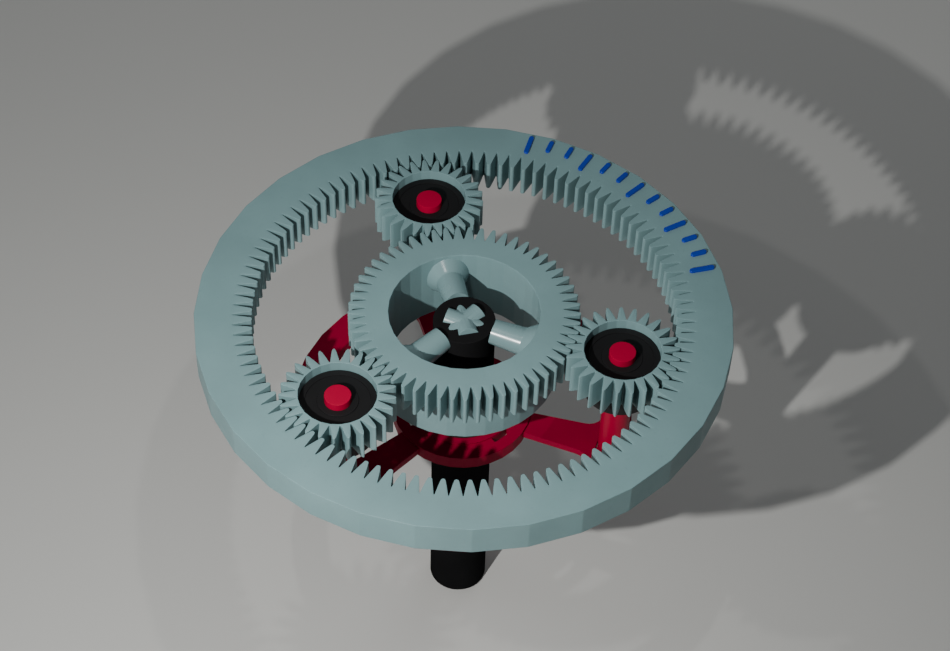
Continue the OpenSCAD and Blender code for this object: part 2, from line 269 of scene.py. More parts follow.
# Lengths in metres. A start or full value is where a worn edge or the painted shade in a corner begins or
# is complete.
EDGE_WIDTH = 0.00025
EDGE_START = 0.985
EDGE_FULL = 0.80
# Painted shade in corners and slots, from ambient occlusion
CORNER_SHADE_REACH = 0.004
CORNER_SHADE_START = 0.75
CORNER_SHADE_FULL = 0.15
COAT_ROUGHNESS = 0.2
GRAIN_DEPTH = 0.00002
WAVE_DEPTH = 0.00003
LATHE_DEPTH = 0.000012
FLOOR_DEPTH = 0.00005


def linear(red, green, blue):
    """Display colour 0-255 to a linear colour."""
    def one(c):
        c = c / 255
        return c / 12.92 if c <= 0.04045 else ((c + 0.055) / 1.055) ** 2.4
    return one(red), one(green), one(blue)


def shade(colour, amount):
    return tuple(min(1.0, c * amount) for c in colour)


class Look:
    """Builds one node material around a Principled shader."""

    def __init__(self, name, metallic=0.0, coat=0.0, specular=0.5):
        self.material = bpy.data.materials.new(name)
        self.material.use_nodes = True
        self.nodes = self.material.node_tree.nodes
        self.links = self.material.node_tree.links
        self.shader = self.nodes["Principled BSDF"]
        self.shader.inputs["Metallic"].default_value = metallic
        self.shader.inputs["Coat Weight"].default_value = coat
        self.shader.inputs["Coat Roughness"].default_value = COAT_ROUGHNESS
        self.shader.inputs["Specular IOR Level"].default_value = specular
        self.point = self.nodes.new("ShaderNodeTexCoord").outputs["Object"]

    def noise(self, scale, detail=3.0, roughness=0.5, point=None):
        node = self.nodes.new("ShaderNodeTexNoise")
        node.inputs["Scale"].default_value = scale
        node.inputs["Detail"].default_value = detail
        node.inputs["Roughness"].default_value = roughness
        self.links.new(point or self.point, node.inputs["Vector"])
        return node.outputs["Fac"]

    def span(self, value, low, high, to_low=0.0, to_high=1.0):
        """Maps the range low to high onto to_low to to_high, and holds it there beyond the ends."""
        node = self.nodes.new("ShaderNodeMapRange")
        for name, number in (("From Min", low), ("From Max", high),
                             ("To Min", to_low), ("To Max", to_high)):
            node.inputs[name].default_value = number
        self.links.new(value, node.inputs["Value"])
        return node.outputs["Result"]

    def maths(self, operation, a, b):
        node = self.nodes.new("ShaderNodeMath")
        node.operation = operation
        for socket, value in zip(node.inputs, (a, b)):
            if isinstance(value, (int, float)):
                socket.default_value = value
            else:
                self.links.new(value, socket)
        return node.outputs[0]

    def mix(self, factor, first, second):
        node = self.nodes.new("ShaderNodeMix")
        node.data_type = "RGBA"
        self.links.new(factor, node.inputs[0])
        for socket, value in ((node.inputs[6], first), (node.inputs[7], second)):
            if isinstance(value, tuple):
                socket.default_value = (*value, 1)
            else:
                self.links.new(value, socket)
        return node.outputs[2]

    def edges(self):
        """1 on convex and concave edges, 0 on flat faces."""
        bevel = self.nodes.new("ShaderNodeBevel")
        bevel.samples = 4
        bevel.inputs["Radius"].default_value = EDGE_WIDTH
        geometry = self.nodes.new("ShaderNodeNewGeometry")
        dot = self.nodes.new("ShaderNodeVectorMath")
        dot.operation = "DOT_PRODUCT"
        self.links.new(bevel.outputs["Normal"], dot.inputs[0])
        self.links.new(geometry.outputs["Normal"], dot.inputs[1])
        return self.span(dot.outputs["Value"], EDGE_START, EDGE_FULL)

    def painted_corner_shade(self):
        """Painted shade: 1 deep in corners and slots, where ambient occlusion falls, 0 on open faces."""
        node = self.nodes.new("ShaderNodeAmbientOcclusion")
        node.samples = 4
        node.inputs["Distance"].default_value = CORNER_SHADE_REACH
        return self.span(node.outputs["AO"], CORNER_SHADE_START, CORNER_SHADE_FULL)

    def turned(self, centre):
        """Point made of the radius from an upright axis and the height only, for lathe marks."""
        split = self.nodes.new("ShaderNodeSeparateXYZ")
        self.links.new(self.point, split.inputs[0])
        dx = self.maths("SUBTRACT", split.outputs[0], centre[0] * MM)
        dy = self.maths("SUBTRACT", split.outputs[1], centre[1] * MM)
        squares = self.maths("ADD", self.maths("MULTIPLY", dx, dx), self.maths("MULTIPLY", dy, dy))
        joined = self.nodes.new("ShaderNodeCombineXYZ")
        self.links.new(self.maths("SQRT", squares, 0.0), joined.inputs[0])
        self.links.new(split.outputs[2], joined.inputs[2])
        return joined.outputs[0]

    def bump(self, height, strength, distance, normal=None):
        node = self.nodes.new("ShaderNodeBump")
        node.inputs["Strength"].default_value = strength
        node.inputs["Distance"].default_value = distance
        self.links.new(height, node.inputs["Height"])
        if normal:
            self.links.new(normal, node.inputs["Normal"])
        return node.outputs["Normal"]

    def finish(self, colour, roughness, normal):
        self.links.new(colour, self.shader.inputs["Base Color"])
        self.links.new(roughness, self.shader.inputs["Roughness"])
        self.links.new(normal, self.shader.inputs["Normal"])
        return self.material


def moulded(name, colour, roughness, contrast=0.07, grain=0.35, coat=0.0, wear=1.3, specular=0.5):
    """Satin moulded polymer: cloudy tone, fine grain, paler rubbed edges and painted shade in corners."""
    look = Look(name, coat=coat, specular=specular)
    cloud = look.span(look.noise(55, 4), 0.3, 0.7)
    tone = look.mix(cloud, shade(colour, 1 - contrast), shade(colour, 1 + contrast))
    speck = look.span(look.noise(900, 2), 0.62, 0.75, to_high=0.35)
    tone = look.mix(speck, tone, shade(colour, 0.86))
    patchy = look.span(look.noise(420, 3), 0.35, 0.65, to_low=0.15)
    worn = look.maths("MULTIPLY", look.edges(), patchy)
    tone = look.mix(look.maths("MULTIPLY", worn, 0.55), tone, shade(colour, wear))
    # Painted shade: the colour turns darker deep in corners and slots
    tone = look.mix(look.maths("MULTIPLY", look.painted_corner_shade(), 0.35), tone, shade(colour, 0.55))
    streak = look.noise(130, 5, 0.62)
    rough = look.span(streak, 0.25, 0.75, roughness - 0.07, roughness + 0.09)
    fine = look.bump(look.noise(2600, 2), grain, GRAIN_DEPTH)
    normal = look.bump(look.noise(240, 2), 0.25, WAVE_DEPTH, fine)
    return look.finish(tone, rough, normal)


def turned_metal(name, colour, roughness, centre=(0, 0), metallic=1.0, wear=1.8, lines=0.35,
                 specular=0.5):
    """Lathe-turned part: fine rings round its axis, rubbed edges."""
    look = Look(name, metallic=metallic, specular=specular)
    rings = look.noise(4200, 2, 0.6, look.turned(centre))
    cloud = look.span(look.noise(90, 4), 0.3, 0.7)
    tone = look.mix(cloud, shade(colour, 0.88), shade(colour, 1.12))
    patchy = look.span(look.noise(500, 3), 0.4, 0.65, to_low=0.1)
    worn = look.maths("MULTIPLY", look.edges(), patchy)
    tone = look.mix(look.maths("MULTIPLY", worn, 0.6), tone, shade(colour, wear))
    rough = look.span(rings, 0.3, 0.7, roughness - 0.06, roughness + 0.08)
    normal = look.bump(rings, lines, LATHE_DEPTH)
    return look.finish(tone, rough, normal)


def floor_grey():
    look = Look("floor", specular=0.3)
    colour = linear(210, 211, 208)
    tone = look.mix(look.noise(6, 4), shade(colour, 0.985), shade(colour, 1.015))
    rough = look.span(look.noise(30, 3), 0.3, 0.7, 0.66, 0.76)
    return look.finish(tone, rough, look.bump(look.noise(400, 3), 0.1, FLOOR_DEPTH))


def gear_grey():
    return moulded("gear_grey", linear(118, 150, 153), 0.44)


def spider_grey():
    return moulded("spider_grey", linear(120, 150, 153), 0.24, contrast=0.04, grain=0.12, coat=0.35,
                   wear=1.12)


def mark_blue():
    return moulded("mark_blue", linear(8, 52, 165), 0.3, contrast=0.08, grain=0.2, coat=0.3)


def carrier_red():
    return moulded("carrier_red", linear(142, 0, 46), 0.42, contrast=0.08, specular=0.05)


def pin_red():
    return moulded("pin_red", linear(162, 2, 50), 0.36, contrast=0.06, grain=0.25, specular=0.12)


def shaft_black():
    return turned_metal("shaft_black", linear(27, 27, 28), 0.5, metallic=0.0, specular=0.0)


def clip_steel():
    return turned_metal("clip_steel", linear(120, 122, 124), 0.34)


def bush_polymer():
    return moulded("bush_polymer", linear(34, 34, 35), 0.46, wear=1.6)


def ball_steel():
    return turned_metal("ball_steel", linear(196, 198, 200), 0.12, lines=0.05)


def cage_polymer():
    return moulded("cage_polymer", linear(40, 42, 44), 0.5)


def seal_rubber():
    return moulded("seal_rubber", linear(26, 26, 27), 0.55, grain=0.6, specular=0.15)


def race_black(planet):
    """Blackened steel, turned round the planet's own axis."""
    return turned_metal(planet + "_race", linear(28, 28, 29), 0.4, planet_centre(planet), metallic=0.0,
                        wear=2.0, specular=0.15)


def make_looks():
    """Every material of the part, by the name of its function, and of its planet for the races."""
    makers = (gear_grey, spider_grey, mark_blue, carrier_red, pin_red, shaft_black, clip_steel,
              bush_polymer, ball_steel, cage_polymer, seal_rubber)
    looks = {make.__name__: make() for make in makers}
    for planet in PLANETS:
        looks[planet + "_race"] = race_black(planet)
    return looks


# ---- Mesh building ----

# Rounded edge in three points: how far each lies in from the side and from the end, in edge radii
ROUND = ((1.0, 0.0), (0.293, 0.293), (0.0, 1.0))
SHARP = ((0.0, 0.0),)
STRAIGHT = 0.05


def arc(centre, radius, start, sweep, steps):
    """Points along an arc, both ends included."""
    turns = [start + sweep * k / steps for k in range(steps + 1)]
    return [(centre[0] + radius * math.cos(a), centre[1] + radius * math.sin(a)) for a in turns]


def circle(radius, steps, centre=(0, 0), start=0.0):
    return arc(centre, radius, start, math.tau, steps)[:-1]


def offset(outline, amount):
    """Moves a counter-clockwise outline along its outward normals."""
    moved = []
    count = len(outline)
    for i, (x, y) in enumerate(outline):
        last_x, last_y = outline[i - 1]
        next_x, next_y = outline[(i + 1) % count]
        normal_in = Vector((y - last_y, last_x - x)).normalized()
        normal_out = Vector((next_y - y, x - next_x)).normalized()
        mitre = (normal_in + normal_out) / (1 + normal_in.dot(normal_out))
        moved.append((x + mitre.x * amount, y + mitre.y * amount))
    return moved


class Shell:
    """Collects the vertices and faces of one piece, in millimetres."""

    def __init__(self):
        self.points = []
        self.faces = []

    def loop(self, points):
        start = len(self.points)
        self.points.extend(points)
        return list(range(start, len(self.points)))

    def flat(self, outline, z):
        return self.loop([(x, y, z) for x, y in outline])

    def wall(self, low, high):
        """Band of four-sided faces between two loops of the same length."""
        count = len(low)
        for i in range(count):
            k = (i + 1) % count
            self.faces.append((low[i], low[k], high[k], high[i]))

    def fill(self, *loops):
        """One flat face over each loop."""
        self.faces += [tuple(loop) for loop in loops]

    def by_angle(self, loop, centre):
        """The loop and its angles round the centre, from the smallest angle on, the start repeated."""
        angles = []
        for i in loop:
            x, y, _ = self.points[i]
            angles.append(math.atan2(y - centre[1], x - centre[0]) % math.tau)
        start = angles.index(min(angles))
        order = loop[start:] + loop[:start]
        turns = angles[start:] + angles[:start]
        return order + [order[0]], turns + [turns[0] + math.tau]

    def cap(self, outer, inner, centre=(0, 0)):
        """Fills the flat band between two loops that both run round the centre."""
        a, a_angles = self.by_angle(outer, centre)
        b, b_angles = self.by_angle(inner, centre)
        i = j = 0
        while i < len(a) - 1 or j < len(b) - 1:
            if j == len(b) - 1 or (i < len(a) - 1 and a_angles[i + 1] <= b_angles[j + 1]):
                self.faces.append((a[i], a[i + 1], b[j]))
                i += 1
            else:
                self.faces.append((a[i], b[j + 1], b[j]))
                j += 1

    def even_out(self, loop, radius, centre=(0, 0)):
        """Flat band from a toothed loop to a circle, along each point's radius. Returns the circle."""
        points = []
        for i in loop:
            x, y, z = self.points[i]
            dx, dy = x - centre[0], y - centre[1]
            stretch = radius / math.hypot(dx, dy)
            points.append((centre[0] + dx * stretch, centre[1] + dy * stretch, z))
        even = self.loop(points)
        self.wall(loop, even)
        return even

    def prism(self, outline, low, high, low_round, high_round, side):
        """Upright wall with rounded edges. side is -1 round the outside and 1 round a hole.
        Returns the loops at its lower and upper face."""
        loops = []
        for along, up in ROUND if low_round else SHARP:
            loops.append(self.flat(offset(outline, side * along * low_round), low + up * low_round))
        for along, down in reversed(ROUND) if high_round else SHARP:
            loops.append(self.flat(offset(outline, side * along * high_round), high - down * high_round))
        for a, b in zip(loops, loops[1:]):
            self.wall(a, b)
        return loops[0], loops[-1]

    def rings(self, profile, centre, steps):
        """One circle of points for each (radius, z) pair."""
        return [self.flat(circle(radius, steps, centre), z) for radius, z in profile]

    def revolve(self, profile, centre=(0, 0), steps=96):
        """Closed ring from a closed (radius, z) profile."""
        loops = self.rings(profile, centre, steps)
        for i, a in enumerate(loops):
            self.wall(a, loops[(i + 1) % len(loops)])

    def spindle(self, profile, centre=(0, 0), steps=96):
        """Solid of revolution from an open profile, closed by flat ends."""
        loops = self.rings(profile, centre, steps)
        for a, b in zip(loops, loops[1:]):
            self.wall(a, b)
        self.fill(loops[0], loops[-1])

    def mesh(self, name, matrix=None):
        data = bpy.data.meshes.new(name)
        data.from_pydata([Vector(p) * MM for p in self.points], [], self.faces)
        if matrix:
            data.transform(matrix)
        face_outwards(data)
        return data


def face_outwards(data):
    work = bmesh.new()
    work.from_mesh(data)
    bmesh.ops.recalc_face_normals(work, faces=work.faces)
    work.to_mesh(data)
    work.free()
    data.update()


def round_corner(before, here, after, size, share=1.0):
    """Short curve in three points that replaces a corner. It takes at most a share of either side."""
    a = here + (before - here).normalized() * min(size, (before - here).length * share)
    b = here + (after - here).normalized() * min(size, (after - here).length * share)
    return [tuple(p) for p in (a, a * 0.25 + here * 0.5 + b * 0.25, b)]


def soften(path, size, closed=True):
    """Rounds every corner of a 2D path. An open path keeps its two ends."""
    result = []
    count = len(path)
    for i in range(count):
        before, here, after = (Vector(path[k % count]) for k in (i - 1, i, i + 1))
        bend = abs((before - here).normalized().cross((after - here).normalized()))
        is_end = not closed and i in (0, count - 1)
        if is_end or bend < STRAIGHT:
            result.append(tuple(here))
        else:
            result += round_corner(before, here, after, size, 0.45)
    return result


def flats_outline(radius, corner=0.3):
    return soften(circle(radius, FLATS, start=FLAT_CORNER), corner)


def prism_mesh(name, outline, low, high, edge=0):
    """Upright solid of one outline."""
    shell = Shell()
    shell.fill(*shell.prism(outline, low, high, edge, edge, -1))
    return shell.mesh(name)


def revolved_mesh(name, profile, centre=(0, 0)):
    shell = Shell()
    shell.revolve(profile, centre)
    return shell.mesh(name)


def spindle_mesh(name, profile, centre=(0, 0), steps=96, matrix=None):
    shell = Shell()
    shell.spindle(profile, centre, steps)
    return shell.mesh(name, matrix)


def boolean(first, second, operation):
    """Mesh of first with second added, cut away or kept. Both are meshes and both are used up."""
    a = bpy.data.objects.new("a", first)
    b = bpy.data.objects.new("b", second)
    for obj in (a, b):
        bpy.context.scene.collection.objects.link(obj)
    step = a.modifiers.new("boolean", "BOOLEAN")
    step.operation = operation
    step.object = b
    step.solver = "EXACT"
    bpy.context.view_layer.update()
    made = bpy.data.meshes.new_from_object(a.evaluated_get(bpy.context.evaluated_depsgraph_get()))
    for obj in (a, b):
        bpy.data.objects.remove(obj)
    return made


# ---- Gear teeth ----

# How far a straight flank bulges, how finely flanks and tips are cut, and the tip radii that are tried
BULGE = 0.06
FLANK_SAMPLES = 240
FLANK_STEPS = 8
TIP_STEPS = 5
TIP_RADII = (0.01, 1.5)

# Where a gap's curve leaves the flank, from the foot to the corner, and its points up to the middle
GAP_START = 0.9
GAP_STEPS = (0.0, 0.17, 0.34, 0.5)


def involute(angle):
    return math.tan(angle) - angle


def tooth_angle(teeth, shift, radius, internal):
    """Half the angle that a shifted involute tooth fills at a radius, less its share of the backlash.
    An internal tooth fills the gap of an external one."""
    base = TOOTH_MODULE * teeth / 2 * math.cos(PRESSURE_ANGLE)
    flank = math.acos(min(1.0, base / radius))
    at_pitch = (math.pi / 2 + 2 * shift * math.tan(PRESSURE_ANGLE)) / teeth
    angle = at_pitch + involute(PRESSURE_ANGLE) - involute(flank)
    if internal:
        angle = math.pi / teeth - angle
    return angle - BACKLASH / (TOOTH_MODULE * teeth)


def flank_points(teeth, shift, start, tip, tip_extra, corner, internal):
    """Flank up to the tip: the involute, or the nearly straight line from the gap's corner to the tip
    where that is slimmer."""
    tip_angle = tooth_angle(teeth, shift, tip, internal)
    end = Vector((tip * math.cos(tip_angle), tip * math.sin(tip_angle) + tip_extra))
    points = []
    for i in range(FLANK_SAMPLES + 1):
        radius = start + (tip - start) * (i / FLANK_SAMPLES)
        angle = tooth_angle(teeth, shift, radius, internal)
        x, y = radius * math.cos(angle), radius * math.sin(angle)
        along = (x - corner.x) / (end.x - corner.x)
        bulge = BULGE * math.sin(math.pi * min(1, max(0, along)))
        points.append((x, min(y, corner.y + (end.y - corner.y) * along + bulge)))
    return points


def tip_circle(flank, tip, sign):
    """Radius of the circle that ends at the tooth's tip and touches both flanks, and where it touches."""
    def gap(radius):
        centre = tip - sign * radius
        near = min(range(len(flank)), key=lambda i: math.hypot(flank[i][0] - centre, flank[i][1]))
        return math.hypot(flank[near][0] - centre, flank[near][1]) - radius, near
    low, high = TIP_RADII
    for _ in range(40):
        middle = (low + high) / 2
        if gap(middle)[0] > 0:
            low = middle
        else:
            high = middle
    return low, gap(low)[1]


def tip_points(flank, tip, sign):
    """Rounded tip from the tooth's middle, and the number of the flank point where it ends."""
    radius, touch = tip_circle(flank, tip, sign)
    centre = tip - sign * radius
    end = math.atan2(flank[touch][1], sign * (flank[touch][0] - centre))
    turns = [end * k / TIP_STEPS for k in range(TIP_STEPS)]
    return [(centre + sign * radius * math.cos(a), radius * math.sin(a)) for a in turns], touch


def gap_points(foot, corner, middle):
    """Rounded bottom of a gap, from a flank's foot to the gap's middle at an angle."""
    across = Vector((-math.sin(middle), math.cos(middle)))
    near = foot.lerp(corner, GAP_START)
    far_corner, far_near = (p - 2 * p.dot(across) * across for p in (corner, near))
    points = []
    for t in GAP_STEPS:
        s = 1 - t
        near_side = s ** 3 * near + 3 * s * s * t * corner
        points.append(tuple(near_side + 3 * s * t * t * far_corner + t ** 3 * far_near))
    return points


def tooth_half(teeth, shift, start, tip, tip_extra, root, gap_half_w, internal=False):
    """Points of one tooth from the middle of its tip to the middle of the next gap, tooth along +X."""
    gap = math.pi / teeth
    corner_angle = gap - gap_half_w / root
    corner = Vector((root * math.cos(corner_angle), root * math.sin(corner_angle)))
    flank = flank_points(teeth, shift, start, tip, tip_extra, corner, internal)
    points, touch = tip_points(flank, tip, -1 if internal else 1)
    points += [flank[round(touch * (1 - k / FLANK_STEPS))] for k in range(FLANK_STEPS + 1)]
    return points + gap_points(Vector(points[-1]), corner, gap)


def gear_outline(teeth, tooth, phase=0.0, centre=(0, 0)):
    """Whole outline, counter-clockwise, with a tooth at the phase."""
    half = tooth_half(teeth, **tooth)
    one = [(x, -y) for x, y in reversed(half[1:-1])] + half
    outline = []
    for k in range(teeth):
        turn = phase + math.tau * k / teeth
        c, s = math.cos(turn), math.sin(turn)
        outline += [(centre[0] + x * c - y * s, centre[1] + x * s + y * c) for x, y in one]
    return outline


# ---- Gears ----

# Circles just beyond the roots of the teeth, where the end faces of each gear turn flat
RING_EVEN_R = 70.2
SUN_EVEN_TOP_R = 29.2
SUN_EVEN_LOW_R = 29.5
PLANET_EVEN_TOP_R = 11.82
PLANET_EVEN_LOW_R = 11.6


def ring_gear_mesh():
    shell = Shell()
    phase = ((SUN_TEETH + RING_TEETH) * planet_angle("left") - math.pi) / RING_TEETH
    teeth = gear_outline(RING_TEETH, RING_TOOTH, phase)
    rim = flats_outline(RING_R, corner=0.35)
    low_teeth, high_teeth = shell.prism(teeth, BOTTOM, TOP, FINE_EDGE, FINE_EDGE, 1)
    low_rim, high_rim = shell.prism(rim, BOTTOM, TOP, RIM_EDGE, RIM_EDGE, -1)
    shell.cap(low_rim, shell.even_out(low_teeth, RING_EVEN_R))
    shell.cap(high_rim, shell.even_out(high_teeth, RING_EVEN_R))
    return shell.mesh("ring_gear_body")


def sun_gear_mesh():
    shell = Shell()
    teeth = gear_outline(SUN_TEETH, SUN_TOOTH)
    low_teeth, high_teeth = shell.prism(teeth, BOTTOM, TOP, FINE_EDGE, FINE_EDGE, -1)
    low_collar, high_collar = shell.prism(flats_outline(COLLAR_R), COLLAR_LOW, BOTTOM, RIM_EDGE, 0, -1)
    low_bore, high_bore = shell.prism(flats_outline(SUN_BORE_R), COLLAR_LOW, TOP, RIM_EDGE, RIM_EDGE, 1)
    shell.cap(shell.even_out(high_teeth, SUN_EVEN_TOP_R), high_bore)
    shell.cap(shell.even_out(low_teeth, SUN_EVEN_LOW_R), high_collar)
    shell.cap(low_collar, low_bore)
    return shell.mesh("sun_gear_body")


def lip_outline(centre, first_angle):
    """Recess above the bearing's flange: one flat side to each tooth, with a corner at each gap."""
    radius = LIP_R / math.cos(math.pi / PLANET_TEETH)
    path = soften(circle(radius, PLANET_TEETH, centre, first_angle), 0.2)
    outline = []
    for i, point in enumerate(path):
        outline.append(point)
        if i % 3 == 2:
            here, there = Vector(point), Vector(path[(i + 1) % len(path)])
            outline += [tuple(here.lerp(there, t)) for t in (0.25, 0.5, 0.75)]
    return outline


def seat_outline(centre, lip):
    """Round bore with a point below each point of the recess."""
    middle = Vector(centre)
    return [tuple(middle + (Vector(p) - middle).normalized() * SEAT_R) for p in lip]


def planet_gear_mesh(planet):
    shell = Shell()
    angle = planet_angle(planet)
    centre = planet_centre(planet)
    phase = angle + math.pi + angle * SUN_TEETH / PLANET_TEETH + math.pi / PLANET_TEETH
    teeth = gear_outline(PLANET_TEETH, PLANET_TOOTH, phase, centre)
    lip = lip_outline(centre, phase + math.pi / PLANET_TEETH)
    low_teeth, high_teeth = shell.prism(teeth, BOTTOM, TOP, PLANET_EDGE, PLANET_EDGE, -1)
    low_seat, high_seat = shell.prism(seat_outline(centre, lip), BOTTOM, LIP_Z, FINE_EDGE, 0, 1)
    low_lip, high_lip = shell.prism(lip, LIP_Z, TOP, 0, PLANET_EDGE, 1)
    shell.wall(high_seat, low_lip)
    shell.cap(shell.even_out(high_teeth, PLANET_EVEN_TOP_R, centre), high_lip, centre)
    shell.cap(shell.even_out(low_teeth, PLANET_EVEN_LOW_R, centre), low_seat, centre)
    return shell.mesh(planet + "_planet_body")


def index_marks_mesh():
    """Round-ended bars that point at the ring's axis."""
    shell = Shell()
    for degrees in MARK_DEGREES:
        length = SHORT_MARK if degrees % LONG_MARK_DEGREES else LONG_MARK
        bar = arc((MARK_OUTER_R, 0), MARK_HALF_W, -math.pi / 2, math.pi, 12)
        bar += arc((MARK_OUTER_R - length, 0), MARK_HALF_W, math.pi / 2, math.pi, 12)
        turn = math.radians(degrees)
        c, s = math.cos(turn), math.sin(turn)
        bar = [(x * c - y * s, x * s + y * c) for x, y in bar]
        shell.fill(*shell.prism(bar, TOP, TOP + MARK_HEIGHT, 0, RIM_EDGE, -1))
    return shell.mesh("index_marks_body")


# ---- Spider and shaft ----


def along_spoke(angle, start, depth, tilt):
    """Matrix that turns a shape along +Z so that it runs outwards along a spoke, falling by the tilt."""
    return (Matrix.Rotation(angle, 4, "Z") @ Matrix.Translation((start * MM, 0, (TOP - depth) * MM))
            @ Matrix.Rotation(math.pi / 2 + tilt, 4, "Y"))


def spoke_mesh(angle):
    """Tapering spoke with a trumpet-shaped end."""
    radius, start = SPOKE_PROFILE[-1]
    bell = [BELL_LENGTH * k / 12 for k in range(1, 13)]
    profile = SPOKE_PROFILE + [(radius + BELL_SLOPE * u, start + u) for u in bell]
    place = along_spoke(angle, SPOKE_START, SPOKE_DEPTH, SPOKE_TILT)
    return spindle_mesh("spoke", profile, matrix=place)


def rod_mesh(angle):
    """Short rod through the hub, whose rounded ends show as lobes in its top face."""
    rounding = ((0.18, 0.0), (0.05, 0.05), (0.0, 0.18))
    end = [(ROD_R - side, ROD_REACH - back) for side, back in rounding]
    profile = [(radius, -z) for radius, z in end] + end[::-1]
    return spindle_mesh("rod", profile, matrix=along_spoke(angle, 0, STAR_DEPTH, STAR_TILT))


def root_mesh(angle):
    """Slim core that joins a spoke to the rods inside the hub."""
    profile = [(ROOT_R, 0.0), (ROOT_R, ROOT_LENGTH)]
    return spindle_mesh("root", profile, steps=48, matrix=along_spoke(angle, 0, STAR_DEPTH, STAR_TILT))


def spider_mesh():
    """Crossed rods in the hub, then each spoke cut to the hub, to the sun's bore and to the top face."""
    angles = [planet_angle(planet) for planet in PLANETS]
    made = rod_mesh(angles[0])
    for angle in angles[1:]:
        made = boolean(made, rod_mesh(angle), "UNION")
    for angle in angles:
        core = prism_mesh("core", circle(HUB_CORE_R, 96), *HUB_CORE_Z)
        bore = prism_mesh("bore", flats_outline(SPOKE_END_R), SPOKE_LOW, SPOKE_TOP)
        spoke = boolean(spoke_mesh(angle), core, "DIFFERENCE")
        spoke = boolean(spoke, bore, "INTERSECT")
        made = boolean(made, boolean(spoke, root_mesh(angle), "UNION"), "UNION")
    return made


def drive_shaft_mesh():
    profile = [(SHAFT_R - 0.5, 0), (SHAFT_R, 0.5)]
    for low in GROOVE_LOWS:
        high = low + GROOVE_W
        profile += [
            (SHAFT_R, low - GROOVE_EDGE), (SHAFT_R - GROOVE_EDGE, low), (GROOVE_R, low + 0.001),
            (GROOVE_R, high - 0.001), (SHAFT_R - GROOVE_EDGE, high), (SHAFT_R, high + GROOVE_EDGE),
        ]
    profile += [
        (SHAFT_R, SHAFT_TOP - 0.35), (SHAFT_R - 0.1, SHAFT_TOP - 0.1), (SHAFT_R - 0.35, SHAFT_TOP),
    ]
    return spindle_mesh("drive_shaft_body", profile)


def circlip_mesh(node):
    """Open ring, with its four corners rounded."""
    low, high = node_box(node)
    sweep = math.tau - 2 * CLIP_HALF_GAP
    outer = arc((0, 0), CLIP_OUTER_R, CLIP_HALF_GAP, sweep, 72)
    inner = arc((0, 0), CLIP_INNER_R, CLIP_HALF_GAP, sweep, 72)
    path = outer + inner[::-1]
    corners = (0, len(outer) - 1, len(outer), len(path) - 1)
    outline = []
    for i, point in enumerate(path):
        if i in corners:
            before, after = Vector(path[i - 1]), Vector(path[(i + 1) % len(path)])
            outline += round_corner(before, Vector(point), after, CLIP_CORNER)
        else:
            outline.append(point)
    return prism_mesh(node + "_body", outline, low.z, high.z, FINE_EDGE)


def washer_mesh(node):
    low, high = node_box(node)
    profile = [(WASHER_BORE_R, low.z), (WASHER_R, low.z), (WASHER_R, high.z), (WASHER_BORE_R, high.z)]
    return revolved_mesh(node + "_body", soften(profile, 0.15))


# ---- Carrier ----

CARRIER_EDGE = 0.3
CARRIER_EDGE_ANGLE = math.radians(9)


def bush_mesh():
    low, high = node_box("carrier_bush")
    shoulder = high.z - BUSH_FLANGE
    profile = [
        (BUSH_BORE_R, low.z), (BUSH_R, low.z), (BUSH_R, shoulder),
        (BUSH_FLANGE_R, shoulder), (BUSH_FLANGE_R, high.z), (BUSH_BORE_R, high.z),
    ]
    return revolved_mesh("carrier_bush_body", soften(profile, 0.25))


def pin_mesh(planet):
    """Stepped pin, closed by a small flat at each end."""
    flat_r = 0.4
    profile = [
        (flat_r, PIN_LOW), (RIVET_R, PIN_LOW), (RIVET_R, RIVET_TOP), (POST_R, RIVET_TOP),
        (POST_R, POST_TOP), (PIN_R, POST_TOP), (PIN_R, PIN_TOP), (flat_r, PIN_TOP),
    ]
    rounded = soften(profile, 0.3, closed=False)
    return spindle_mesh(planet + "_pin_body", rounded, planet_centre(planet), 64)


def carrier_mesh(source):
    """The CAD plate with its triangles merged into whole faces, ready for rounded edges."""
    work = bmesh.new()
    work.from_mesh(source.data)
    bmesh.ops.remove_doubles(work, verts=work.verts, dist=1e-6)
    bmesh.ops.dissolve_limit(work, angle_limit=math.radians(1), verts=work.verts, edges=work.edges)
    data = bpy.data.meshes.new("carrier_plate_body")
    work.to_mesh(data)
    work.free()
    return data


def round_edges(piece, width, angle):
    """Bevel before the piece's other modifiers, on edges that turn by more than the angle."""
    step = piece.modifiers.new("rounded", "BEVEL")
    step.width = width * MM
    step.segments = 2
    step.limit_method = "ANGLE"
    step.angle_limit = angle
    step.use_clamp_overlap = True
    step.miter_outer = "MITER_SHARP"
    piece.modifiers.move(len(piece.modifiers) - 1, 0)


# ---- Bearings ----

RACE_EDGE = 0.12
SEAL_EDGE = 0.06


def ball_track(middle, land, outward):
    """Curve across a race's face, from its lower land to its upper one. outward is 1 or -1."""
    half = math.sqrt(TRACK_R ** 2 - (land - PITCH_R) ** 2) - 0.01
    points = []
    for k in range(9):
        z = middle - half + 2 * half * k / 8
        depth = math.sqrt(max(0.0, TRACK_R ** 2 - (z - middle) ** 2))
        points.append((PITCH_R + outward * depth, z))
    return points


